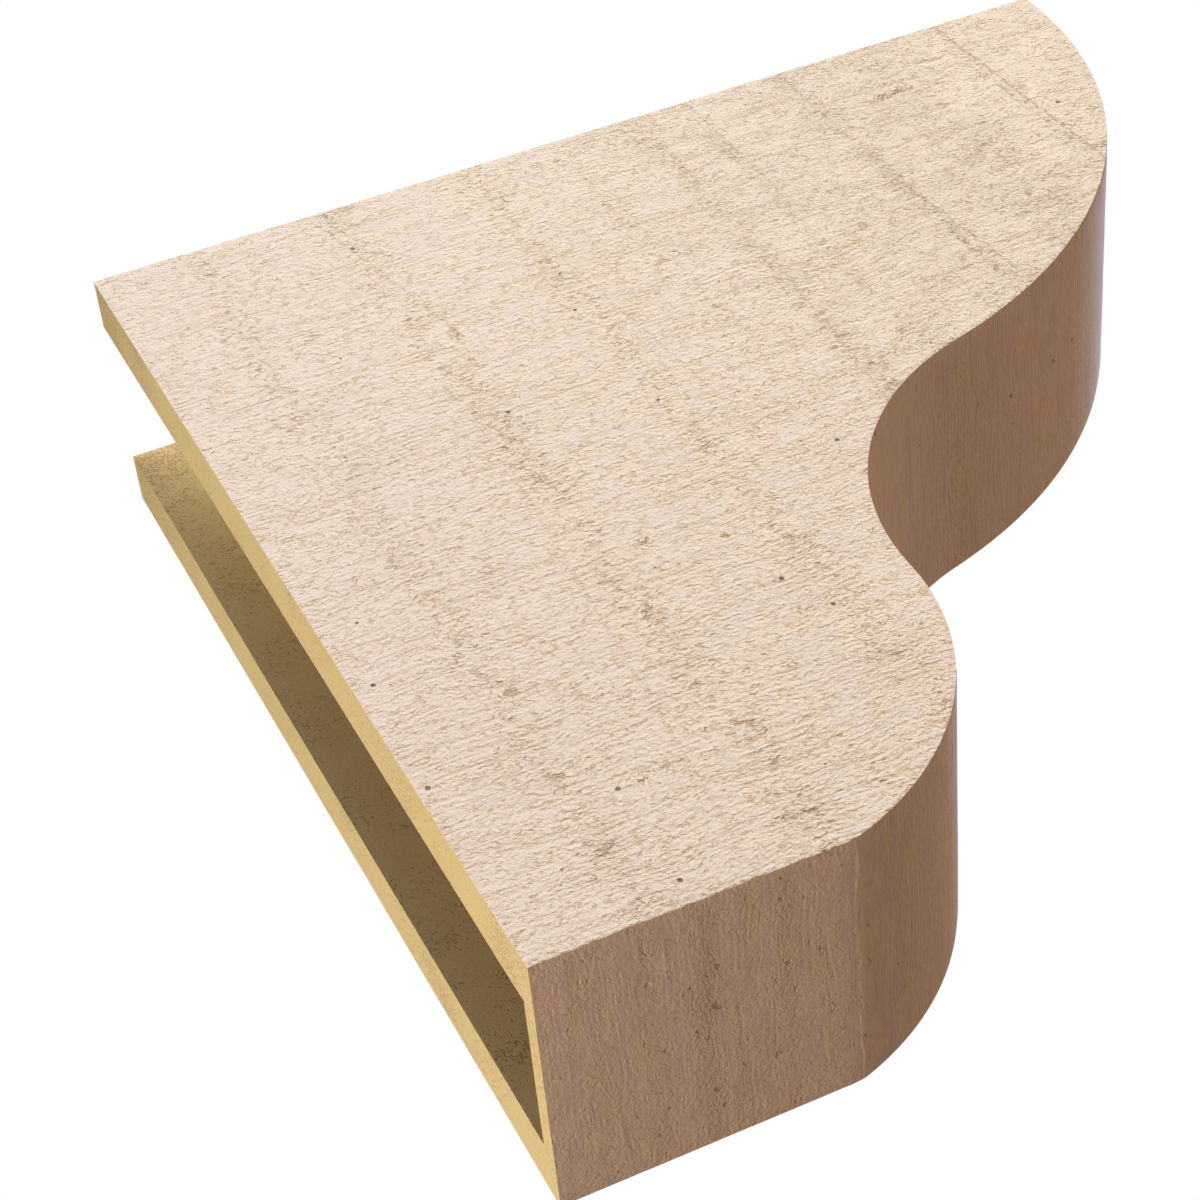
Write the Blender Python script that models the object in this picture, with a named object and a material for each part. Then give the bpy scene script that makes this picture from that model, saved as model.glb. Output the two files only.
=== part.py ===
"""A hollow corbel with an S-curved front, moulded in one piece of rigid foam.

Metres, +Z up. The open back lies in the plane Y = 0 against the wall, the corbel
stands out towards -Y, and it is the same left and right of X = 0. Its top and its
back are open, and the four closed walls are the two sides, the front and the underside.
The origin is on the wall, in the middle of the back edge of the underside's wall.
"""

import math

import bmesh
import bpy
from mathutils import Vector

# The outer size: how far it stands out from the wall, its height and its width
PROJECTION = 0.4064
HEIGHT = 0.4064
WIDTH = 0.1016

# The walls: thick sides that carry the load, a thin front and underside
SIDE_WALL = 0.0204
THIN_WALL = 0.0077

# The front's outline as shares of the projection and of the height, from the top down:
# a large roll, a hollow, and a small roll that ends in a crease at the flat underside
ROLL_REACH = 0.375
ROLL_DROP = 0.5
HOLLOW_REACH = 0.1875
HOLLOW_DROP = 0.25
TOE_REACH = 0.1875
TOE_DROP = 0.25

# Each arc is drawn in steps of about this angle, and edges sharper than the crease angle
# stay sharp in the shading
ARC_STEP = math.radians(2.0)
CREASE_ANGLE = math.radians(10.0)

# How far the cavity's cutter runs out past the open back and the open top
CUTTER_OVERRUN = 0.010

# The origin lies this far above the underside, in the middle of its wall
ORIGIN_HEIGHT = THIN_WALL / 2

FOAM_COLOUR = (0.62, 0.48, 0.36, 1.0)
FOAM_ROUGHNESS = 0.85


def clear_scene():
    for old in list(bpy.data.objects):
        bpy.data.objects.remove(old)


def arc_points(centre, radius, start_angle, end_angle):
    """Points of an arc in the (y, z) plane, with both ends, in equal steps."""
    steps = max(1, round(abs(end_angle - start_angle) / ARC_STEP))
    points = []
    for i in range(steps + 1):
        angle = start_angle + (end_angle - start_angle) * i / steps
        y = centre[0] + radius * math.cos(angle)
        z = centre[1] + radius * math.sin(angle)
        points.append((y, z))
    return points


def arc_radius(reach, drop):
    """Radius of an arc that runs plumb at one end and covers this reach and drop."""
    return (reach * reach + drop * drop) / (2 * reach)


def front_line(inset):
    """The front's line from its top to the underside, moved in by inset from the outer face.

    Each arc keeps its centre, so the wall has the same thickness all the way down. The roll
    is plumb at the top, the hollow is plumb at its foot, and the two share one slant where
    they meet, because reach and drop have the same ratio in all three arcs.
    """
    top = HEIGHT - ORIGIN_HEIGHT
    roll_radius = arc_radius(ROLL_REACH * PROJECTION, ROLL_DROP * HEIGHT)
    hollow_radius = arc_radius(HOLLOW_REACH * PROJECTION, HOLLOW_DROP * HEIGHT)
    toe_radius = arc_radius(TOE_REACH * PROJECTION, TOE_DROP * HEIGHT)
    roll_sweep = math.asin(ROLL_DROP * HEIGHT / roll_radius)
    hollow_sweep = math.asin(HOLLOW_DROP * HEIGHT / hollow_radius)
    toe_sweep = math.asin(TOE_DROP * HEIGHT / toe_radius)

    roll_centre = (-PROJECTION + roll_radius, top)
    hollow_foot_y = -PROJECTION * (1 - ROLL_REACH - HOLLOW_REACH)
    hollow_foot_z = top - (ROLL_DROP + HOLLOW_DROP) * HEIGHT
    hollow_centre = (hollow_foot_y - hollow_radius, hollow_foot_z)
    toe_centre = (hollow_foot_y + toe_radius, hollow_foot_z)

    roll = arc_points(roll_centre, roll_radius - inset, math.pi, math.pi + roll_sweep)
    hollow = arc_points(hollow_centre, hollow_radius + inset, hollow_sweep, 0.0)
    toe = arc_points(toe_centre, toe_radius - inset, math.pi, math.pi + toe_sweep)
    return roll + hollow[1:] + toe[1:]


def cut_at_height(line, floor_z):
    """The part of a line above floor_z, ending exactly on it."""
    kept = [line[0]]
    for before, after in zip(line, line[1:]):
        if after[1] <= floor_z:
            share = (before[1] - floor_z) / (before[1] - after[1])
            kept.append((before[0] + share * (after[0] - before[0]), floor_z))
            return kept
        kept.append(after)
    return kept


def outer_outline():
    """The side's outline: the front line, closed by the underside, the back and the top."""
    underside = -ORIGIN_HEIGHT
    top = HEIGHT - ORIGIN_HEIGHT
    return front_line(0.0) + [(0.0, underside), (0.0, top)]


def cavity_outline():
    """The hollow's outline, run out past the open back and the open top."""
    floor_z = -ORIGIN_HEIGHT + THIN_WALL
    above = HEIGHT - ORIGIN_HEIGHT + CUTTER_OVERRUN
    line = cut_at_height(front_line(THIN_WALL), floor_z)
    lip = [(line[0][0], above)]
    back = [(CUTTER_OVERRUN, floor_z), (CUTTER_OVERRUN, above)]
    return lip + line + back


def prism(name, outline, half_width):
    """A closed solid with this (y, z) outline, from -half_width to +half_width along X."""
    mesh = bpy.data.meshes.new(name)
    bm = bmesh.new()
    ring = [bm.verts.new((-half_width, y, z)) for y, z in outline]
    face = bm.faces.new(ring)
    grown = bmesh.ops.extrude_face_region(bm, geom=[face])
    moved = [v for v in grown["geom"] if isinstance(v, bmesh.types.BMVert)]
    bmesh.ops.translate(bm, verts=moved, vec=Vector((2 * half_width, 0.0, 0.0)))
    bmesh.ops.recalc_face_normals(bm, faces=bm.faces)
    bm.to_mesh(mesh)
    bm.free()
    made = bpy.data.objects.new(name, mesh)
    bpy.context.collection.objects.link(made)
    return made


def foam_material():
    material = bpy.data.materials.new("primed_foam")
    material.use_nodes = True
    shader = material.node_tree.nodes["Principled BSDF"]
    shader.inputs["Base Color"].default_value = FOAM_COLOUR
    shader.inputs["Roughness"].default_value = FOAM_ROUGHNESS
    shader.inputs["Metallic"].default_value = 0.0
    return material


def make_corbel():
    """The moulded body: the outer form with its hollow cut out."""
    corbel = prism("corbel", outer_outline(), WIDTH / 2)
    corbel.data.materials.append(foam_material())
    corbel.data.shade_smooth()
    corbel.data.set_sharp_from_angle(angle=CREASE_ANGLE)

    cavity = prism("cavity_cutter", cavity_outline(), WIDTH / 2 - SIDE_WALL)
    cavity.hide_render = True
    cavity.display_type = "WIRE"

    hollow = corbel.modifiers.new("hollow", "BOOLEAN")
    hollow.operation = "DIFFERENCE"
    hollow.solver = "EXACT"
    hollow.object = cavity
    return corbel


clear_scene()
make_corbel()
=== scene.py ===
"""The looks of the corbel: one hollow foam moulding with a rough-sawn timber skin.

Metres, +Z up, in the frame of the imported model: the wall is the plane Y = 0, the
corbel stands out towards -Y, and its two sides lie at equal distances from X = 0.
"""

import math

import bmesh
import bpy
from mathutils import Matrix, Vector, noise


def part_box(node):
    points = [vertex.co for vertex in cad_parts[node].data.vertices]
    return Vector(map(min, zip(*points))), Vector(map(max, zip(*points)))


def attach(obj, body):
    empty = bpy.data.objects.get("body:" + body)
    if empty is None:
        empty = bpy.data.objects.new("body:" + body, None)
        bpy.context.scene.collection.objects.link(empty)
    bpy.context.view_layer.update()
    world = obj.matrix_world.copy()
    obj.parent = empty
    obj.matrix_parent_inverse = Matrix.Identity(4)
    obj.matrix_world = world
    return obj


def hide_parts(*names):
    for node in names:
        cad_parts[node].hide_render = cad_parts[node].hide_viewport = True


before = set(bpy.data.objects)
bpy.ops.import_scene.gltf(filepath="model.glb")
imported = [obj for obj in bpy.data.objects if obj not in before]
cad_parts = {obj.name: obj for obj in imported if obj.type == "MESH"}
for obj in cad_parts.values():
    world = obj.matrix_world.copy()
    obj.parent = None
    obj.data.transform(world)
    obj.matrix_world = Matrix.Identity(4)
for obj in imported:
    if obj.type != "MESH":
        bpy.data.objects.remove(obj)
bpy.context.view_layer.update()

# The moulded body is one hollow casting of rigid foam, with two thick sides, a thin S-curved
# front and a thin underside. It is poured in a mould taken from rough-sawn timber, so its
# outer faces carry the saw's ridges and torn grain. It is cut off flat at the back and the top.
MM = 0.001
SIDE_WALL = 20.4 * MM
THIN_WALL = 7.7 * MM
low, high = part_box("corbel")
half_width = high.x
projection = high.y - low.y
height = high.z - low.z
inner_half = half_width - SIDE_WALL
floor_z = low.z + THIN_WALL

# Reach and drop of the three arcs of the front, as shares of the projection and the height
LARGE_ROLL = (0.375, 0.5)
HOLLOW = (0.1875, 0.25)
SMALL_ROLL = (0.1875, 0.25)

# Distances between the mesh's points: along the front's curve and so between the rows of the
# sides, then along those rows on the left and on the right, across the width, and inside.
# The left side is finer, because it carries the single tears.
ROW_STEP = 1.55 * MM
LEFT_STEP = 1.9 * MM
RIGHT_STEP = 3.8 * MM
WIDTH_STEP = 3.0 * MM
INSIDE_STEP = 8.0 * MM


def run(start, end, step):
    """Values from start to end, with both ends, about one step apart."""
    count = max(1, round(abs(end - start) / step))
    return [start + (end - start) * i / count for i in range(count + 1)]


def arc(centre, radius, start, end, step):
    """Points of an arc in the (y, z) plane, with both ends."""
    angles = run(start, end, step / radius)
    return [(centre[0] + radius * math.cos(a), centre[1] + radius * math.sin(a)) for a in angles]


def front_line(inset, step):
    """The front's line from the top down, inset from the outer face, with every arc's centre kept."""
    sizes = []
    for reach_share, drop_share in (LARGE_ROLL, HOLLOW, SMALL_ROLL):
        reach = reach_share * projection
        drop = drop_share * height
        radius = (reach * reach + drop * drop) / (2 * reach)
        sizes.append((reach, drop, radius, math.asin(drop / radius)))
    (roll_reach, roll_drop, roll, roll_sweep) = sizes[0]
    (hollow_reach, hollow_drop, hollow, hollow_sweep) = sizes[1]
    toe, toe_sweep = sizes[2][2:]
    foot = (low.y + roll_reach + hollow_reach, high.z - roll_drop - hollow_drop)
    line = arc((low.y + roll, high.z), roll - inset, math.pi, math.pi + roll_sweep, step)
    line += arc((foot[0] - hollow, foot[1]), hollow + inset, hollow_sweep, 0.0, step)[1:]
    line += arc((foot[0] + toe, foot[1]), toe - inset, math.pi, math.pi + toe_sweep, step)[1:]
    return line


def cut_at_floor(line):
    """The part of a line above the hollow's floor, ending exactly on it."""
    kept = [line[0]]
    for before, after in zip(line, line[1:]):
        if after[1] <= floor_z:
            share = (before[1] - floor_z) / (before[1] - after[1])
            return kept + [(before[0] + share * (after[0] - before[0]), floor_z)]
        kept.append(after)
    return kept


outer_line = front_line(0.0, ROW_STEP)
outer_line[-1] = (outer_line[-1][0], low.z)
inner_line = cut_at_floor(front_line(THIN_WALL, INSIDE_STEP))
wall_widths = run(-half_width, -inner_half, WIDTH_STEP)
hollow_widths = run(-inner_half, inner_half, WIDTH_STEP)
widths = wall_widths + hollow_widths[1:-1] + [-x for x in reversed(wall_widths)]


def side_rows(x, line, step):
    """Rows of a side face, one for each point of the front's line, from the back to that point."""
    return [[(x, y, z) for y in run(high.y, front_y, step)] for front_y, z in line]


def back_column(x, line):
    """A column of the back's cut edge, with a point at the height of each point of the line."""
    return [(x, high.y, z) for y, z in line]


left_rows = side_rows(-half_width, outer_line, LEFT_STEP)
right_rows = side_rows(half_width, outer_line, RIGHT_STEP)
inner_left_rows = side_rows(-inner_half, inner_line, INSIDE_STEP)
inner_right_rows = side_rows(inner_half, inner_line, INSIDE_STEP)
front_columns = [[(x, y, z) for y, z in outer_line] for x in widths]
inner_front_columns = [[(x, y, z) for y, z in inner_line] for x in hollow_widths]


def underside_columns():
    """Columns of the underside from the back forward: the outer two are the sides' lowest rows."""
    columns = [[(x, y, low.z) for y in run(high.y, outer_line[-1][0], RIGHT_STEP)] for x in widths[1:-1]]
    return [left_rows[-1]] + columns + [right_rows[-1]]


def floor_columns():
    foot_y = inner_line[-1][0]
    return [[(x, y, floor_z) for y in run(high.y, foot_y, INSIDE_STEP)] for x in hollow_widths]


def back_rim(outer_x, inner_x):
    """The back's cut edge on one side, from the skin to the hollow."""
    coarse = inner_line + [(high.y, low.z)]
    between = run(outer_x, inner_x, WIDTH_STEP)[1:]
    return [back_column(outer_x, outer_line)] + [back_column(x, coarse) for x in between]


def top_rim(outer_row, inner_row, outer_x, inner_x):
    """The top's cut edge on one side, from the skin to the hollow."""
    lip = inner_row + [(inner_x, low.y, high.z)]
    between = run(outer_x, inner_x, WIDTH_STEP)[1:-1]
    columns = [[(x, y, high.z) for _, y, _ in lip] for x in between]
    return [outer_row] + columns + [lip]


sill = [[(x, high.y, floor_z), (x, high.y, low.z)] for x in hollow_widths]
front_lip = [[(x, inner_line[0][0], high.z), (x, low.y, high.z)] for x in hollow_widths]

# Torn grain on the sides: bands that run up the side, each at its distance from the back with
# its half width and its strength, and single tears at a distance from the back and from the
# top, with a length, a lean from the level and a strength. All are in mm and degrees.
BANDS = [
    (38, 6, 0.32),
    (57, 3, 0.14),
    (95, 7, 0.38),
    (152, 5, 0.34),
    (190, 4, 0.18),
    (221, 5, 0.34),
    (245, 2, 0.22),
    (290, 3, 0.30),
    (330, 9, 0.22),
    (361, 2.5, 0.28),
]
TEARS = [
    (39, 375, 10, 20, 1.0),
    (38, 339, 9, -35, 0.9),
    (94, 389, 26, -4, 0.9),
    (97, 366, 9, 60, 0.9),
    (81, 71, 20, 8, 0.5),
    (104, 105, 14, 88, 0.8),
    (84, 175, 9, 15, 0.5),
    (109, 252, 8, 6, 1.0),
    (95, 284, 12, 70, 0.8),
    (42, 297, 9, -50, 0.6),
    (138, 308, 11, -30, 0.6),
    (146, 338, 15, 28, 0.7),
    (68, 351, 16, -10, 0.7),
    (193, 72, 18, 28, 0.5),
    (196, 101, 30, 3, 0.4),
    (200, 12, 13, 84, 0.6),
    (245, 45, 60, 89, 0.45),
    (290, 130, 160, 89.0, 0.5),
    (360, 75, 150, 92.4, 0.25),
    (155, 150, 110, 92.7, 0.45),
    (145, 233, 12, 60, 0.8),
    (135, 262, 10, -20, 0.7),
    (318, 40, 26, 4, 0.9),
    (330, 95, 14, 20, 0.7),
    (262, 120, 12, -30, 0.6),
    (239, 190, 11, 50, 0.7),
    (183, 300, 12, 15, 0.7),
    (122, 330, 10, 75, 0.8),
    (60, 240, 12, 10, 0.5),
    (369, 118, 13, 12, 0.9),
    (343, 22, 20, -22, 0.5),
]
TEAR_HALF_WIDTH = 1.8

# The bands of the right side lie this much nearer to the back than those of the left
BAND_SHIFT = 22

# A band is strongest along its middle. It has fallen to about a third at this many half widths
# from there, and it ends at BAND_REACH times that distance.
BAND_SOFTNESS = 1.3
BAND_REACH = 2.2

# The torn bands of the underside run across the width, at these distances from the back
UNDERSIDE_BANDS = [
    (18, 2, 0.25),
    (34, 2, 0.3),
    (53, 3, 0.75),
    (66, 2, 0.3),
    (79, 2.5, 0.5),
    (93, 2, 0.3),
]

# A place this close to a face lies on it
NEAR = 0.5 * MM


def swell(most, u, v, size, layer):
    """A rise and fall of up to about this much, with bumps of this (u, v) size in mm. Each layer
    number gives other bumps."""
    return most * noise.noise(Vector((u / size[0], v / size[1], layer)))


def band_strength(bands, u, v, layer):
    """How torn the grain is at u mm from the back and v mm along its bands, from 0 to 1."""
    strength = 0.0
    for index, (place, half, most) in enumerate(bands):
        wander = swell(3.0, v, 7.3 * index, (70, 1), layer)
        offset = (u - place - wander) / (half * BAND_SOFTNESS)
        if abs(offset) < BAND_REACH:
            broken = 0.75 + swell(0.6, v, 3.1 * index, (26, 1), layer + 20)
            strength = max(strength, most * max(0.0, min(1.0, broken)) * math.exp(-offset * offset))
    return strength


def tear_strength(u, v):
    """The single tears of the left side, from 0 to 1."""
    strength = 0.0
    for place_u, place_v, length, lean, most in TEARS:
        du = u - place_u
        dv = v - place_v
        if abs(du) > length or abs(dv) > length:
            continue
        lean = math.radians(lean)
        along = du * math.cos(lean) - dv * math.sin(lean)
        across = du * math.sin(lean) + dv * math.cos(lean)
        across += swell(1.6, u, v, (5, 5), 3.0)
        end = max(0.0, 1.0 - (2 * along / length) ** 2)
        strength = max(strength, most * end * math.exp(-((across / TEAR_HALF_WIDTH) ** 2)))
    return strength


def torn_share(place):
    """How torn the skin is at a place on either side or on the underside, from 0 to 1."""
    u = (high.y - place.y) / MM
    v = (high.z - place.z) / MM
    if abs(place.x) < half_width - NEAR:
        return band_strength(UNDERSIDE_BANDS, u, place.x / MM, 70.0)
    if place.x > 0:
        return band_strength(BANDS, u + BAND_SHIFT, v, 50.0)
    return max(band_strength(BANDS, u, v, 0.0), tear_strength(u, v))


def side_relief(place):
    """Height of the side's skin: slow waves, saw ridges, lumps and torn grain."""
    u = (high.y - place.y) / MM
    v = (high.z - place.z) / MM
    layer = 0.0 if place.x < 0 else 90.0
    level = v + swell(2.0, u, v, (45, 60), layer + 5)
    waves = swell(0.06, u, v, (75, 55), layer)
    ridges = swell(0.045, u, level, (38, 3.4), layer + 11)
    lumps = swell(0.04, u, level, (8, 4.2), layer + 17)
    torn = torn_share(place)
    broken = swell(0.14, u, level, (3.4, 2.7), layer + 29)
    return (waves + ridges + lumps * (1 + torn) + torn * (broken - 0.04)) * MM


def across_relief(place):
    """Height of the skin on the front and the underside, whose grain runs across the width."""
    along = place.x / MM
    down = (place.y - place.z) / MM
    rough = 1.0 if place.z < low.z + NEAR else 0.35
    waves = swell(0.12, along, down, (50, 45), 140.0)
    ridges = swell(0.10, along, down, (42, 4.2), 151.0)
    lumps = swell(0.13, along, down, (9, 4.6), 163.0)
    return (waves + ridges * (0.5 + rough / 2) + lumps * rough) * MM


def raw_relief(place):
    """Height of the bare foam: it is nearly flat, with slow waves."""
    return 0.08 * MM * noise.noise(place / (45 * MM) + Vector((200.0, 0.0, 0.0)))


SIDE_SKIN, UNDERSIDE_SKIN, FRONT_SKIN, CUT_EDGE, INSIDE = range(5)
faces_of_body = [
    (left_rows, side_relief, SIDE_SKIN),
    (right_rows, side_relief, SIDE_SKIN),
    (front_columns, across_relief, FRONT_SKIN),
    (underside_columns(), across_relief, UNDERSIDE_SKIN),
    (back_rim(-half_width, -inner_half), raw_relief, CUT_EDGE),
    (back_rim(half_width, inner_half), raw_relief, CUT_EDGE),
    (sill, raw_relief, CUT_EDGE),
    (top_rim(left_rows[0], inner_left_rows[0], -half_width, -inner_half), raw_relief, CUT_EDGE),
    (top_rim(right_rows[0], inner_right_rows[0], half_width, inner_half), raw_relief, CUT_EDGE),
    (front_lip, raw_relief, CUT_EDGE),
    (inner_left_rows, raw_relief, INSIDE),
    (inner_right_rows, raw_relief, INSIDE),
    (inner_front_columns, raw_relief, INSIDE),
    (floor_columns(), raw_relief, INSIDE),
]

body_mesh = bmesh.new()
face_number = body_mesh.faces.layers.int.new("face_number")
vertex_of = {}


def vertex_at(place):
    """The one vertex at a place, to the nearest micrometre, so that neighbouring faces share it."""
    key = tuple(round(value * 1e6) for value in place)
    if key not in vertex_of:
        vertex_of[key] = body_mesh.verts.new(place)
    return vertex_of[key]


def stitch(first, second, number, material):
    """Fills the strip between two lines of vertices, always across its shorter diagonal."""
    i = 0
    j = 0
    while i < len(first) - 1 or j < len(second) - 1:
        if j == len(second) - 1:
            go_first = True
        elif i == len(first) - 1:
            go_first = False
        else:
            one = (first[i + 1].co - second[j].co).length_squared
            other = (first[i].co - second[j + 1].co).length_squared
            go_first = one <= other
        if go_first:
            corners = (first[i], first[i + 1], second[j])
            i += 1
        else:
            corners = (first[i], second[j + 1], second[j])
            j += 1
        face = body_mesh.faces.new(corners)
        face[face_number] = number
        face.material_index = material
        face.smooth = True


for number, (lines, _, material) in enumerate(faces_of_body):
    rows = [[vertex_at(place) for place in line] for line in lines]
    for first, second in zip(rows, rows[1:]):
        stitch(first, second, number, material)
bmesh.ops.recalc_face_normals(body_mesh, faces=body_mesh.faces)
body_mesh.normal_update()

# The moulded corners are a little soft: where two faces meet, each draws back by this much
SOFT_CORNER = 0.22 * MM
SAWN_CORNER = 0.05 * MM


def raise_relief():
    """Moves each vertex along the normals of the faces that it lies on, by each face's relief."""
    normals = {}
    for face in body_mesh.faces:
        for vertex in face.verts:
            key = (vertex, face[face_number])
            normals[key] = normals.get(key, Vector()) + face.normal * face.calc_area()
    faces_at = {}
    for vertex, number in normals:
        faces_at.setdefault(vertex, []).append(number)
    moves = []
    for vertex, numbers in faces_at.items():
        move = Vector()
        raw = any(faces_of_body[n][2] >= CUT_EDGE for n in numbers)
        corner = SAWN_CORNER if raw else SOFT_CORNER
        for number in numbers:
            rise = faces_of_body[number][1](vertex.co)
            if len(numbers) > 1:
                rise = rise * 0.5 - corner
            move += normals[(vertex, number)].normalized() * rise
        moves.append((vertex, move))
    for vertex, move in moves:
        vertex.co += move


torn_layer = body_mesh.verts.layers.float.new("torn")
for vertex in body_mesh.verts:
    if abs(vertex.co.x) > half_width - NEAR or vertex.co.z < low.z + NEAR:
        vertex[torn_layer] = torn_share(vertex.co)
raise_relief()
for edge in body_mesh.edges:
    edge.smooth = len({face[face_number] for face in edge.link_faces}) == 1
body_mesh.faces.layers.int.remove(face_number)

mesh = bpy.data.meshes.new("moulded_corbel")
body_mesh.to_mesh(mesh)
body_mesh.free()
moulded_corbel = bpy.data.objects.new("moulded_corbel", mesh)
bpy.context.scene.collection.objects.link(moulded_corbel)

# The skin is a tan primer, sprayed in the mould and cast on with the foam. It is matt, a little pinker
# towards the back and paler towards the front, and has faint darker streaks in the grain.
# Painted shade darkens the creases and low crumbs of the grain, the cracks of the torn grain and the feet
# of the saw steps. Trapped air left small pores in it, and painted shade darkens them.
PRIMER = (0.755, 0.634, 0.498, 1.0)
PRIMER_PINK = (0.703, 0.598, 0.510, 1.0)
PRIMER_PALE = (0.808, 0.690, 0.556, 1.0)
# Dark streaks of the grain, and painted shade in its creases and low crumbs
STREAK_AND_CREASE_SHADE = (0.520, 0.350, 0.185, 1.0)
# Painted shade in the cracks of the torn grain and at the feet of the saw steps
TEAR_SHADE = (0.430, 0.270, 0.140, 1.0)
BAND_BROWN = (0.330, 0.260, 0.200, 1.0)
# Painted shade in the air pores
PORE_SHADE = (0.090, 0.062, 0.040, 1.0)


def feed(tree, socket, value):
    """Gives a socket a number or colour, or links it to another node's output."""
    if isinstance(value, bpy.types.NodeSocket):
        tree.links.new(value, socket)
    else:
        socket.default_value = value


def calc(tree, operation, *values):
    """A Math node on numbers or outputs; gives its output."""
    node = tree.nodes.new("ShaderNodeMath")
    node.operation = operation
    for socket, value in zip(node.inputs, values):
        feed(tree, socket, value)
    return node.outputs[0]


def ramp(tree, value, start, end, low_value=0.0, high_value=1.0):
    """A smooth step from low_value at start to high_value at end."""
    node = tree.nodes.new("ShaderNodeMapRange")
    node.interpolation_type = "SMOOTHSTEP"
    feed(tree, node.inputs["Value"], value)
    feed(tree, node.inputs["From Min"], start)
    feed(tree, node.inputs["From Max"], end)
    feed(tree, node.inputs["To Min"], low_value)
    feed(tree, node.inputs["To Max"], high_value)
    return node.outputs["Result"]


def blend(tree, share, first, second):
    """A colour between two others."""
    node = tree.nodes.new("ShaderNodeMix")
    node.data_type = "RGBA"
    feed(tree, node.inputs["Factor"], share)
    feed(tree, node.inputs[6], first)
    feed(tree, node.inputs[7], second)
    return node.outputs[2]


def spots(tree, along, across, layer, sizes, detail=2.0, roughness=0.55, distortion=0.0):
    """Noise from 0 to 1 with spots of this (along, across) size in mm."""
    node = tree.nodes.new("ShaderNodeTexNoise")
    place = tree.nodes.new("ShaderNodeCombineXYZ")
    feed(tree, place.inputs[0], calc(tree, "DIVIDE", along, sizes[0]))
    feed(tree, place.inputs[1], calc(tree, "DIVIDE", across, sizes[1]))
    feed(tree, place.inputs[2], layer)
    tree.links.new(place.outputs[0], node.inputs["Vector"])
    node.inputs["Scale"].default_value = 1.0
    node.inputs["Detail"].default_value = detail
    node.inputs["Roughness"].default_value = roughness
    node.inputs["Distortion"].default_value = distortion
    return node.outputs["Fac"]


def total(tree, *heights):
    """The sum of several heights."""
    added = heights[0]
    for height_output in heights[1:]:
        added = calc(tree, "ADD", added, height_output)
    return added


def new_group(name, inputs, outputs):
    """An empty shader node group with these float sockets."""
    tree = bpy.data.node_groups.new(name, "ShaderNodeTree")
    for socket, value in inputs.items():
        made = tree.interface.new_socket(name=socket, in_out="INPUT", socket_type="NodeSocketFloat")
        made.default_value = value
    for socket in outputs:
        tree.interface.new_socket(name=socket, in_out="OUTPUT", socket_type="NodeSocketFloat")
    entry = tree.nodes.new("NodeGroupInput")
    result = tree.nodes.new("NodeGroupOutput")
    return tree, entry.outputs, result.inputs


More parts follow.
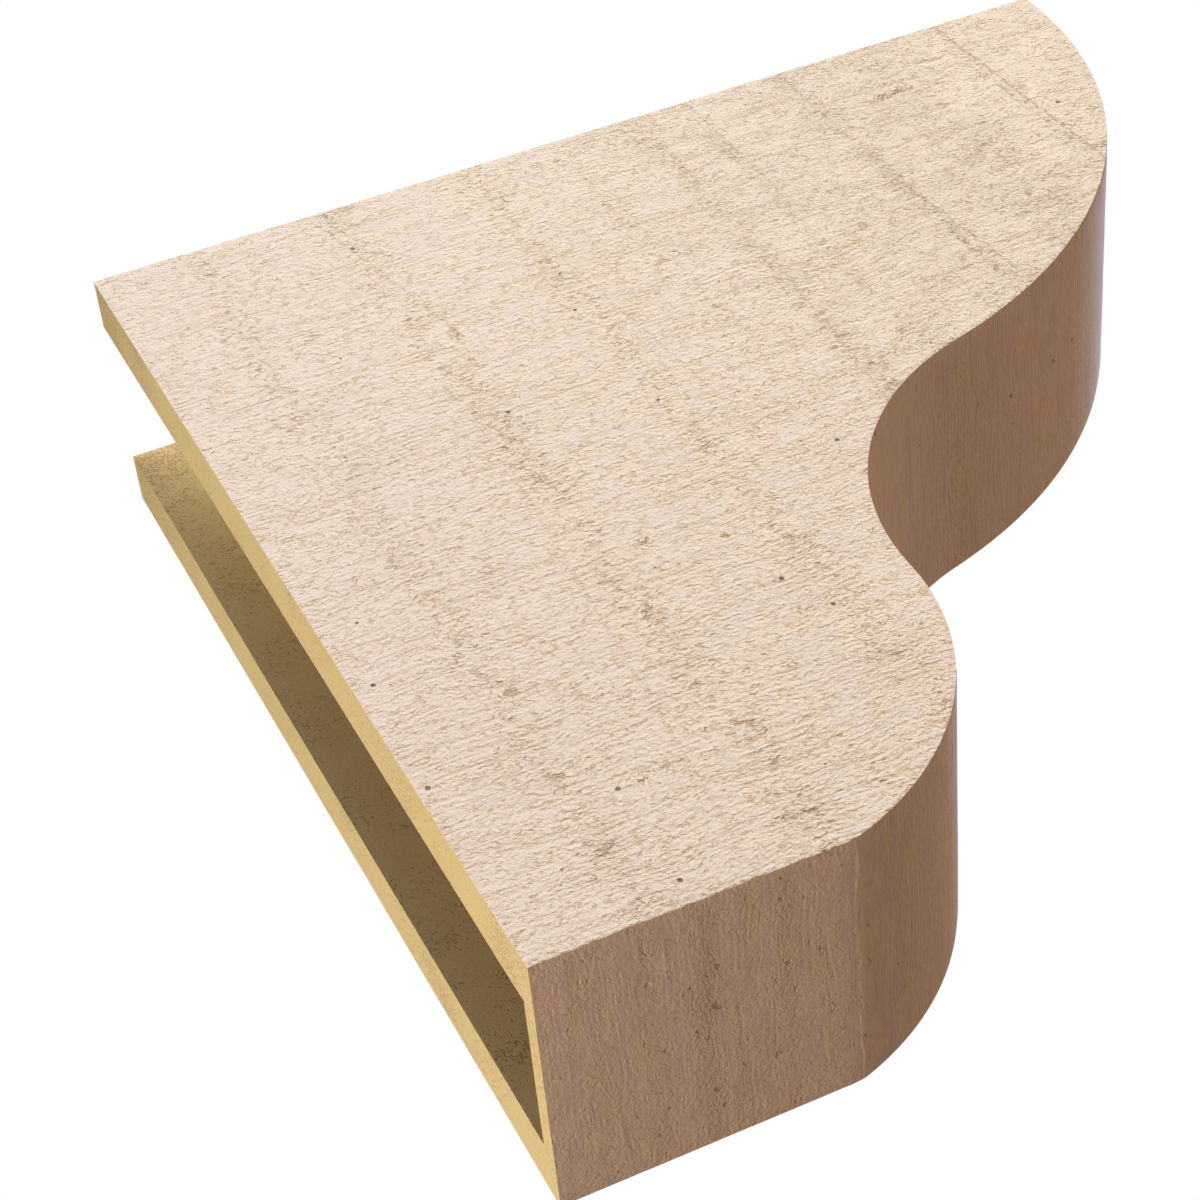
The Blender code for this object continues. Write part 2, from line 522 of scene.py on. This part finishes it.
def sawn_grain_group():
    """The sawn face cast in the skin: long saw lines, small crumbs, thin broken creases between them and
    faint streaks. Crease is where painted shade darkens the creases, the saw lines' low parts and the low
    crumbs.
    Sizes and heights in mm, the rest from 0 to 1."""
    inputs = {
        "Along": 0.0,
        "Across": 0.0,
        "Layer": 0.0,
        "Torn": 0.0,
        "Line Length": 25.0,
        "Line Pitch": 1.25,
        "Lines": 0.45,
        "Crumb Length": 1.75,
        "Crumb Pitch": 1.5,
        "Crumbs": 1.95,
        "Creases": 0.16,
    }
    tree, given, result = new_group("sawn_grain", inputs, ["Height", "Crease", "Rough", "Streak"])
    along, across = given["Along"], given["Across"]
    layers = [calc(tree, "ADD", given["Layer"], shift) for shift in (0.0, 7.7, 13.1, 31.7, 45.3)]
    bend = spots(tree, along, across, layers[0], (34.0, 40.0), detail=1.0)
    level = calc(tree, "MULTIPLY_ADD", bend, 7.0, across)
    line_size = (given["Line Length"], given["Line Pitch"])
    lines = spots(tree, along, level, layers[0], line_size, detail=1.5, roughness=0.4)
    crumb_size = (given["Crumb Length"], given["Crumb Pitch"])
    crumbs = spots(tree, along, level, layers[1], crumb_size, detail=3.0, roughness=0.6)
    patches = spots(tree, along, across, layers[2], (13.0, 7.0), detail=1.0)
    rough = calc(tree, "MULTIPLY_ADD", given["Torn"], 0.8, ramp(tree, patches, 0.38, 0.58, 0.75, 1.0))
    web_size = (calc(tree, "MULTIPLY", crumb_size[0], 1.35), calc(tree, "MULTIPLY", crumb_size[1], 1.35))
    web = spots(tree, along, level, layers[3], web_size, detail=1.5, roughness=0.5, distortion=0.5)
    web_line = ramp(tree, calc(tree, "ABSOLUTE", calc(tree, "SUBTRACT", web, 0.5)), 0.075, 0.025)
    gaps = spots(tree, along, level, layers[4], (3.6, 2.6), detail=1.0)
    web_gate = calc(tree, "MULTIPLY_ADD", given["Torn"], 0.14, gaps)
    web_crease = calc(tree, "MULTIPLY", web_line, ramp(tree, web_gate, 0.50, 0.62))
    line_crease = calc(tree, "MULTIPLY", ramp(tree, lines, 0.40, 0.31), ramp(tree, gaps, 0.60, 0.44))
    # Painted shade: the creases, the low parts of the saw lines and the low crumbs are darkened
    low_crumb_shade = ramp(tree, crumbs, 0.47, 0.33, 0.0, 0.32)
    creases = calc(tree, "MAXIMUM", calc(tree, "MAXIMUM", web_crease, line_crease), low_crumb_shade)
    crease_shade = calc(tree, "MULTIPLY", creases, calc(tree, "MINIMUM", rough, 1.0))
    line_height = calc(tree, "MULTIPLY", calc(tree, "SUBTRACT", lines, 0.5), given["Lines"])
    crumb_height = calc(tree, "MULTIPLY", calc(tree, "SUBTRACT", crumbs, 0.5), given["Crumbs"])
    crease_depth = calc(tree, "MULTIPLY", web_crease, given["Creases"])
    crumbly = calc(tree, "MULTIPLY", calc(tree, "SUBTRACT", crumb_height, crease_depth), rough)
    streaks = spots(tree, along, across, calc(tree, "ADD", given["Layer"], 21.0), (60.0, 5.0), detail=3.0)
    feed(tree, result["Height"], calc(tree, "ADD", crumbly, line_height))
    feed(tree, result["Crease"], crease_shade)
    feed(tree, result["Rough"], rough)
    feed(tree, result["Streak"], ramp(tree, streaks, 0.46, 0.30))
    return tree


def torn_grain_group():
    """Short cracks where the saw tore the grain, with painted shade in them. Height in mm, painted shade
    from 0 to 1.
    """
    inputs = {"Along": 0.0, "Across": 0.0, "Layer": 0.0, "Torn": 0.0, "Reach": 0.45}
    tree, given, result = new_group("torn_grain", inputs, ["Height", "Painted Shade"])
    along, across, layer = given["Along"], given["Across"], given["Layer"]
    wide = spots(tree, along, across, layer, (4.6, 3.0), detail=1.5, distortion=0.7)
    crack = ramp(tree, calc(tree, "ABSOLUTE", calc(tree, "SUBTRACT", wide, 0.5)), 0.075, 0.020)
    where_layer = calc(tree, "ADD", layer, 5.9)
    where = spots(tree, along, across, where_layer, (5.0, 3.6), detail=1.0)
    reach = calc(tree, "MULTIPLY_ADD", given["Torn"], given["Reach"], where)
    here = ramp(tree, reach, 0.68, 0.80)
    dark = calc(tree, "MULTIPLY", crack, here)
    feed(tree, result["Painted Shade"], dark)
    feed(tree, result["Height"], calc(tree, "MULTIPLY", dark, -0.40))
    return tree


def pores_group():
    """Small round air pores, thinly spread, with painted shade in them. Height in mm, painted shade from
    0 to 1.
    """
    inputs = {"Along": 0.0, "Across": 0.0, "Layer": 0.0, "Spacing": 46.0, "Radius": 0.9}
    tree, given, result = new_group("air_pores", inputs, ["Height", "Painted Shade"])
    node = tree.nodes.new("ShaderNodeTexVoronoi")
    node.voronoi_dimensions = "2D"
    node.inputs["Scale"].default_value = 1.0
    place = tree.nodes.new("ShaderNodeCombineXYZ")
    shifted = calc(tree, "MULTIPLY_ADD", given["Layer"], 97.0, given["Across"])
    feed(tree, place.inputs[0], calc(tree, "DIVIDE", given["Along"], given["Spacing"]))
    feed(tree, place.inputs[1], calc(tree, "DIVIDE", shifted, given["Spacing"]))
    tree.links.new(place.outputs[0], node.inputs["Vector"])
    distance = calc(tree, "MULTIPLY", node.outputs["Distance"], given["Spacing"])
    channels = tree.nodes.new("ShaderNodeSeparateColor")
    tree.links.new(node.outputs["Color"], channels.inputs[0])
    size = calc(tree, "MULTIPLY", given["Radius"], ramp(tree, channels.outputs[0], 0.3, 1.0))
    dark = ramp(tree, calc(tree, "DIVIDE", distance, calc(tree, "ADD", size, 0.001)), 1.25, 0.7)
    feed(tree, result["Painted Shade"], dark)
    feed(tree, result["Height"], calc(tree, "MULTIPLY", dark, -0.5))
    return tree


# Long steps that the saw left on the sides: the distance from the back at the top, the lean in
# mm per mm, where the step starts and ends below the top, its height and how dark the painted shade at
# its foot is
STEPS = [
    (362.5, 0.015, -30, 150, 0.30, 0.52),
    (248.3, 0.003, -30, 100, 0.20, 0.28),
    (290.5, -0.008, -30, 80, 0.14, 0.18),
    (283.0, 0.075, 78, 190, 0.20, 0.36),
    (217.0, 0.150, -30, 75, 0.14, 0.12),
    (235.0, -0.085, 95, 300, 0.16, 0.16),
    (151.0, 0.090, 70, 260, 0.16, 0.16),
    (176.7, -0.055, -30, 140, 0.12, 0.10),
    (104.0, -0.080, 180, 420, 0.16, 0.16),
    (86.6, 0.183, -30, 125, 0.16, 0.22),
    (322.0, -0.050, 20, 130, 0.14, 0.14),
]

# In mm: the length over which a step comes and goes at its ends, the width over which it falls
# back, how far it wanders, and how much farther from the back the right side's steps lie
STEP_END = 25.0
STEP_FALL = 12.0
STEP_WANDER = 3.2
STEP_SHIFT = 22.0


def saw_steps_group():
    """Each step rises sharply and falls back slowly. Height in mm, painted shade at its foot from 0 to 1.
    """
    tree, given, result = new_group("saw_steps", {"Along": 0.0, "Across": 0.0}, ["Height", "Painted Shade"])
    along, across = given["Along"], given["Across"]
    wobble = spots(tree, along, across, 0.0, (4.0, 4.0), detail=3.0)
    from_back = calc(tree, "SUBTRACT", high.y / MM - STEP_WANDER / 2, along)
    u = calc(tree, "MULTIPLY_ADD", wobble, STEP_WANDER, from_back)
    v = calc(tree, "SUBTRACT", high.z / MM, across)
    broken = spots(tree, along, across, 4.4, (2.2, 2.0), detail=1.5)
    heights = []
    dark = 0.0
    for start_u, lean, start_v, end_v, rise, foot_shade in STEPS:
        past = calc(tree, "SUBTRACT", u, calc(tree, "MULTIPLY_ADD", v, lean, start_u))
        coming = ramp(tree, v, start_v, start_v + STEP_END)
        going = ramp(tree, v, end_v, end_v - STEP_END)
        ends = calc(tree, "MULTIPLY", coming, going)
        fall = calc(tree, "POWER", math.e, calc(tree, "MULTIPLY", past, -1 / STEP_FALL))
        step = calc(tree, "MULTIPLY", ramp(tree, past, -0.4, 0.4, 0.0, rise), fall)
        heights.append(calc(tree, "MULTIPLY", step, ends))
        foot = ramp(tree, calc(tree, "ABSOLUTE", calc(tree, "ADD", past, 0.5)), 1.0, 0.4, 0.0, foot_shade)
        dark = calc(tree, "MAXIMUM", calc(tree, "MULTIPLY", foot, ends), dark)
    feed(tree, result["Height"], total(tree, *heights))
    feed(tree, result["Painted Shade"], calc(tree, "MULTIPLY", dark, ramp(tree, broken, 0.41, 0.54)))
    return tree


SAWN_GRAIN = sawn_grain_group()
SAW_STEPS = saw_steps_group()
TORN_GRAIN = torn_grain_group()
AIR_PORES = pores_group()


def use_group(tree, group, values):
    """A copy of a node group in a material, with these values or links; gives its outputs."""
    node = tree.nodes.new("ShaderNodeGroup")
    node.node_tree = group
    for name, value in values.items():
        feed(tree, node.inputs[name], value)
    return node.outputs


def new_material(name):
    """A material with its shader, and the place in mm on the object's own axes."""
    material = bpy.data.materials.new(name)
    material.use_nodes = True
    tree = material.node_tree
    shader = tree.nodes["Principled BSDF"]
    coordinates = tree.nodes.new("ShaderNodeTexCoord")
    axes = tree.nodes.new("ShaderNodeSeparateXYZ")
    tree.links.new(coordinates.outputs["Object"], axes.inputs[0])
    place = [calc(tree, "MULTIPLY", output, 1 / MM) for output in axes.outputs]
    return material, tree, shader, place


def bump(tree, shader, height):
    """Feeds a height in mm to the shader's normal."""
    node = tree.nodes.new("ShaderNodeBump")
    node.inputs["Strength"].default_value = 1.0
    node.inputs["Distance"].default_value = MM
    tree.links.new(height, node.inputs["Height"])
    tree.links.new(node.outputs[0], shader.inputs["Normal"])


def skin_material(name, grain, torn_colour, crack_reach, crease_shade_share, tone, gloss, along_width):
    """The primed skin, with its gloss as (roughness, specular level). along_width says that the
    grain runs across the corbel's width."""
    material, tree, shader, (x, y, z) = new_material(name)
    if along_width:
        along = x
        across = calc(tree, "SUBTRACT", y, z)
        layer = 0.0
        grain = {**grain, "Crumbs": ramp(tree, z, 205.0, 280.0, grain["Crumbs"], 1.5)}
    else:
        along = y
        across = z
        side = calc(tree, "SIGN", x)
        layer = calc(tree, "MULTIPLY", side, 3.5)
        step_along = calc(tree, "MULTIPLY_ADD", calc(tree, "ADD", side, 1.0), STEP_SHIFT / 2, y)
        grain = {**grain, "Lines": ramp(tree, y, -100.0, -380.0, 0.62, 0.2)}
        grain = {**grain, "Crumb Length": ramp(tree, y, -150.0, -350.0, 1.75, 1.45)}
        grain = {**grain, "Crumbs": ramp(tree, y, -30.0, -320.0, 1.35, 1.95)}
        # More painted crease shade towards the front
        crease_shade_share = ramp(tree, y, -150.0, -320.0, crease_shade_share, 0.76)
        steps = use_group(tree, SAW_STEPS, {"Along": step_along, "Across": across})
    where = {"Along": along, "Across": across, "Layer": layer}
    torn = tree.nodes.new("ShaderNodeAttribute")
    torn.attribute_name = "torn"
    sawn = use_group(tree, SAWN_GRAIN, {**where, "Torn": torn.outputs["Fac"], **grain})
    cracks = use_group(tree, TORN_GRAIN, {**where, "Torn": torn.outputs["Fac"], "Reach": crack_reach})
    pores = use_group(tree, AIR_PORES, where)
    colour = blend(tree, ramp(tree, sawn["Rough"], 0.75, 1.05), PRIMER_PINK, PRIMER)
    colour = blend(tree, calc(tree, "MULTIPLY", sawn["Streak"], tone), colour, STREAK_AND_CREASE_SHADE)
    colour = blend(tree, calc(tree, "MULTIPLY", torn.outputs["Fac"], 0.5), colour, torn_colour)
    if not along_width:
        colour = blend(tree, ramp(tree, y, -130.0, -270.0, 0.0, 0.85), colour, PRIMER_PALE)
        colour = blend(tree, ramp(tree, y, -160.0, -20.0, 0.0, 0.7), colour, PRIMER_PINK)
        # Painted shade at the feet of the saw steps
        colour = blend(tree, steps["Painted Shade"], colour, TEAR_SHADE)
    # Painted shade in the creases and low crumbs of the grain
    colour = blend(tree, calc(tree, "MULTIPLY", sawn["Crease"], crease_shade_share), colour, STREAK_AND_CREASE_SHADE)
    # Painted shade in the cracks of the torn grain
    colour = blend(tree, calc(tree, "MULTIPLY", cracks["Painted Shade"], 0.6), colour, TEAR_SHADE)
    # Painted shade in the air pores
    colour = blend(tree, calc(tree, "MULTIPLY", pores["Painted Shade"], 0.85), colour, PORE_SHADE)
    tree.links.new(colour, shader.inputs["Base Color"])
    dull = ramp(tree, sawn["Crease"], 0.0, 1.0, gloss[0], 0.85)
    tree.links.new(dull, shader.inputs["Roughness"])
    shader.inputs["Specular IOR Level"].default_value = gloss[1]
    heights = [sawn["Height"], cracks["Height"], pores["Height"]]
    if not along_width:
        heights.append(steps["Height"])
    bump(tree, shader, total(tree, *heights))
    return material


side_skin = skin_material(
    "side_skin",
    grain={},
    torn_colour=PRIMER_PALE,
    crack_reach=0.45,
    crease_shade_share=0.58,
    tone=0.05,
    gloss=(0.62, 0.35),
    along_width=False,
)
underside_skin = skin_material(
    "underside_skin",
    grain={"Lines": 0.17, "Crumb Length": 1.6, "Crumb Pitch": 1.4, "Crumbs": 0.40, "Creases": 0.07},
    torn_colour=BAND_BROWN,
    crack_reach=0.22,
    crease_shade_share=0.34,
    tone=0.22,
    gloss=(0.60, 0.35),
    along_width=True,
)
front_skin = skin_material(
    "front_skin",
    grain={"Lines": 0.42, "Crumb Length": 2.6, "Crumb Pitch": 1.6, "Crumbs": 0.50, "Creases": 0.08},
    torn_colour=PRIMER,
    crack_reach=0.0,
    crease_shade_share=0.12,
    tone=0.2,
    gloss=(0.66, 0.20),
    along_width=True,
)

# The cut edges and the inside are bare yellow foam with fine closed cells. Painted shade darkens the low
# cells and the coarse open bubbles, which show as dark specks, and the primer wraps the outer edge by
# half a millimetre.
CUT_FOAM = (0.672, 0.612, 0.308, 1.0)
# The inside's foam is darker and browner than the cut edges: its browner tone is the duller moulded inner
# face, and its darkness is partly painted shade for the hollow.
INNER_FOAM = (0.590, 0.505, 0.300, 1.0)
# Painted shade in the low cells and the open bubbles of the foam
FOAM_SHADE = (0.380, 0.290, 0.150, 1.0)


def foam_cells_group():
    """Bare foam: fine closed cells, open bubbles that crowd in patches and towards the upper back
    corner, and primer on the outer edges. Cell and Bubble say where painted shade darkens the low cells
    and the open bubbles. Height in mm, the rest from 0 to 1."""
    outputs = ["Cell", "Bubble", "Primer", "Height"]
    tree, given, result = new_group("foam_cells", {"X": 0.0, "Y": 0.0, "Z": 0.0}, outputs)
    x, y, z = given["X"], given["Y"], given["Z"]
    cells = spots(tree, y, z, calc(tree, "DIVIDE", x, 1.1), (1.1, 1.1), detail=2.0)
    patches = spots(tree, y, z, calc(tree, "DIVIDE", x, 30.0), (34.0, 26.0), detail=2.0)
    specks = spots(tree, y, z, calc(tree, "DIVIDE", x, 1.2), (1.2, 1.2), detail=1.5, distortion=0.4)
    corner = ramp(tree, calc(tree, "ADD", y, z), high.z / MM - 90.0, high.z / MM, 0.0, 0.17)
    crowded = calc(tree, "ADD", calc(tree, "MULTIPLY_ADD", patches, 0.5, 0.075), corner)
    bubble = ramp(tree, calc(tree, "SUBTRACT", specks, crowded), 0.045, -0.02)
    edge = ramp(tree, calc(tree, "ABSOLUTE", x), half_width / MM - 0.9, half_width / MM - 0.3)
    cell_height = calc(tree, "MULTIPLY", calc(tree, "SUBTRACT", cells, 0.5), 0.10)
    bubble_height = calc(tree, "MULTIPLY", bubble, -0.25)
    feed(tree, result["Cell"], ramp(tree, cells, 0.6, 0.3))
    feed(tree, result["Bubble"], bubble)
    feed(tree, result["Primer"], edge)
    feed(tree, result["Height"], total(tree, cell_height, bubble_height))
    return tree


FOAM_CELLS = foam_cells_group()


def foam_material(name, foam, bubble_shade):
    """Bare foam of this colour. The last argument says how dark the painted shade in its open bubbles is.
    """
    material, tree, shader, (x, y, z) = new_material(name)
    cells = use_group(tree, FOAM_CELLS, {"X": x, "Y": y, "Z": z})
    # Painted shade in the low cells and the open bubbles
    colour = blend(tree, calc(tree, "MULTIPLY", cells["Cell"], 0.22), foam, FOAM_SHADE)
    colour = blend(tree, calc(tree, "MULTIPLY", cells["Bubble"], bubble_shade), colour, FOAM_SHADE)
    colour = blend(tree, calc(tree, "MULTIPLY", cells["Primer"], 0.6), colour, PRIMER)
    tree.links.new(colour, shader.inputs["Base Color"])
    shader.inputs["Roughness"].default_value = 0.85
    shader.inputs["Specular IOR Level"].default_value = 0.2
    bump(tree, shader, cells["Height"])
    return material


cut_foam = foam_material("cut_foam", CUT_FOAM, 0.4)
inner_foam = foam_material("inner_foam", INNER_FOAM, 0.7)
for material in (side_skin, underside_skin, front_skin, cut_foam, inner_foam):
    mesh.materials.append(material)
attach(moulded_corbel, "root")
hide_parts("corbel")

# The studio floor is a plain pale disc, low enough to lie under every camera. It glows a
# little, so that it stays pale where the lamps don't reach, and it casts no light of its own.
FLOOR_Z = -1.6
FLOOR_RADIUS = 6.0
FLOOR_GLOW = 0.50


def studio_floor():
    made = bmesh.new()
    bmesh.ops.create_circle(made, cap_ends=True, segments=96, radius=FLOOR_RADIUS)
    bmesh.ops.translate(made, verts=made.verts, vec=Vector((0.0, 0.0, FLOOR_Z)))
    floor_mesh = bpy.data.meshes.new("studio_floor")
    made.to_mesh(floor_mesh)
    made.free()
    floor = bpy.data.objects.new("studio_floor", floor_mesh)
    bpy.context.scene.collection.objects.link(floor)
    material, tree, shader, (x, y, _) = new_material("pale_floor")
    mottle = spots(tree, x, y, 0.0, (260.0, 260.0), detail=3.0)
    colour = blend(tree, mottle, (0.80, 0.80, 0.80, 1.0), (0.86, 0.86, 0.86, 1.0))
    tree.links.new(colour, shader.inputs["Base Color"])
    tree.links.new(colour, shader.inputs["Emission Color"])
    shader.inputs["Emission Strength"].default_value = FLOOR_GLOW
    shader.inputs["Roughness"].default_value = 0.9
    floor_mesh.materials.append(material)
    floor.visible_diffuse = False
    floor.visible_glossy = False
    return floor


studio_floor()

# The studio is a white room with soft lamps round the corbel. The main lamp faces the left
# side from a little above, and the others are dimmer. Each lamp has its direction from the
# corbel, its distance, its size, how bright it makes a white face turned to it, and its tint.
LAMPS = {
    "main": ((-0.78, -0.27, 0.55), 5.0, 1.15, 1.20, (1.0, 0.99, 0.975)),
    "corner": ((-0.5, 0.18, 0.35), 0.636, 0.2, 0.11, (0.40, 0.70, 1.0)),
    "right": ((1.0, 0.1, 0.25), 2.6, 1.6, 0.75, (1.0, 0.98, 0.95)),
    "behind": ((-0.1, 0.92, -0.36), 1.3, 0.7, 0.70, (1.0, 0.795, 0.660)),
    "front": ((-0.1, -1.0, -0.35), 2.6, 1.6, 0.28, (1.0, 0.65, 0.45)),
    "top": ((-0.1, 0.25, 1.0), 1.9, 1.8, 0.16, (1.0, 0.97, 0.92)),
    "edge": ((0.52, -0.57, 0.66), 2.4, 1.0, 0.95, (0.62, 0.76, 1.0)),
}
middle = (low + high) / 2


def add_lamp(name, direction, distance, size, level, tint):
    data = bpy.data.lights.new(name, "AREA")
    data.shape = "DISK"
    data.size = size
    data.energy = level * math.pi**2 * distance**2
    data.color = tint
    lamp = bpy.data.objects.new(name, data)
    towards = Vector(direction).normalized()
    lamp.location = middle + towards * distance
    lamp.rotation_euler = towards.to_track_quat("Z", "Y").to_euler()
    lamp.visible_camera = False
    bpy.context.scene.collection.objects.link(lamp)


for name, values in LAMPS.items():
    add_lamp(name, *values)

# A small dark card hangs over the open top, in the main lamp's way, and keeps the light from
# above out of the hollow. The camera and the reflections don't see it.
CARD_RISE = 0.008


def shade_card():
    lamp = bpy.data.objects["main"].location
    corners = []
    for x, y in ((-1, 0), (1, 0), (1, 1), (-1, 1)):
        corner = Vector((x * inner_half, high.y if y else low.y, high.z))
        corners.append(corner + (lamp - corner) * (CARD_RISE / (lamp.z - corner.z)))
    card_mesh = bpy.data.meshes.new("shade_card")
    card_mesh.from_pydata(corners, [], [(0, 1, 2, 3)])
    card = bpy.data.objects.new("shade_card", card_mesh)
    bpy.context.scene.collection.objects.link(card)
    material, _, shader, _ = new_material("dark_card")
    shader.inputs["Base Color"].default_value = (0.02, 0.02, 0.02, 1.0)
    shader.inputs["Roughness"].default_value = 0.9
    card_mesh.materials.append(material)
    card.visible_camera = False
    card.visible_diffuse = False
    card.visible_glossy = False
    return card


shade_card()

# Just inside the open top, a dim strip of light as wide as the hollow shines down into it, so
# that the hollow is palest at the top.
STRIP_DROP = 0.0003
STRIP_POWER = 0.145
strip_data = bpy.data.lights.new("strip", "AREA")
strip_data.shape = "RECTANGLE"
strip_data.size = 2 * inner_half
strip_data.size_y = projection - THIN_WALL
strip_data.energy = STRIP_POWER
strip_data.color = (1.0, 0.86, 0.66)
strip = bpy.data.objects.new("strip", strip_data)
strip.location = (0.0, (low.y + THIN_WALL + high.y) / 2, high.z - STRIP_DROP)
strip.visible_camera = False
bpy.context.scene.collection.objects.link(strip)

ROOM_LIGHT = (0.150, 0.105, 0.080, 1.0)


def white_room():
    """The world: white where the camera looks past the corbel, and a dim even light elsewhere."""
    world = bpy.data.worlds.new("white_room")
    world.use_nodes = True
    tree = world.node_tree
    background = tree.nodes["Background"]
    path = tree.nodes.new("ShaderNodeLightPath")
    colour = blend(tree, path.outputs["Is Camera Ray"], ROOM_LIGHT, (1.0, 1.0, 1.0, 1.0))
    tree.links.new(colour, background.inputs["Color"])
    bpy.context.scene.world = world


white_room()
bpy.context.scene.view_settings.view_transform = "Standard"

# The camera stands below and behind the left side, as in the photograph, and leans over. It
# looks at a point near the corbel's middle.
CAMERA_AZIMUTH = math.radians(-114.286)
CAMERA_ELEVATION = math.radians(-46.740)
CAMERA_ROLL = math.radians(-37.763)
CAMERA_AIM = Vector((0.0232, -0.1182, 0.2178))
CAMERA_DISTANCE = 1.0301
CAMERA_LENS = 86.60


def add_camera():
    data = bpy.data.cameras.new("camera")
    data.lens = CAMERA_LENS
    data.sensor_width = 36.0
    data.clip_start = 0.01
    data.clip_end = 50.0
    camera = bpy.data.objects.new("camera", data)
    level = math.cos(CAMERA_ELEVATION)
    back = Vector(
        (
            math.sin(CAMERA_AZIMUTH) * level,
            -math.cos(CAMERA_AZIMUTH) * level,
            math.sin(CAMERA_ELEVATION),
        )
    )
    upright = back.to_track_quat("Z", "Y").to_matrix().to_4x4()
    lean = Matrix.Rotation(CAMERA_ROLL, 4, "Z")
    camera.matrix_world = Matrix.Translation(CAMERA_AIM + back * CAMERA_DISTANCE) @ upright @ lean
    bpy.context.scene.collection.objects.link(camera)
    bpy.context.scene.camera = camera


add_camera()
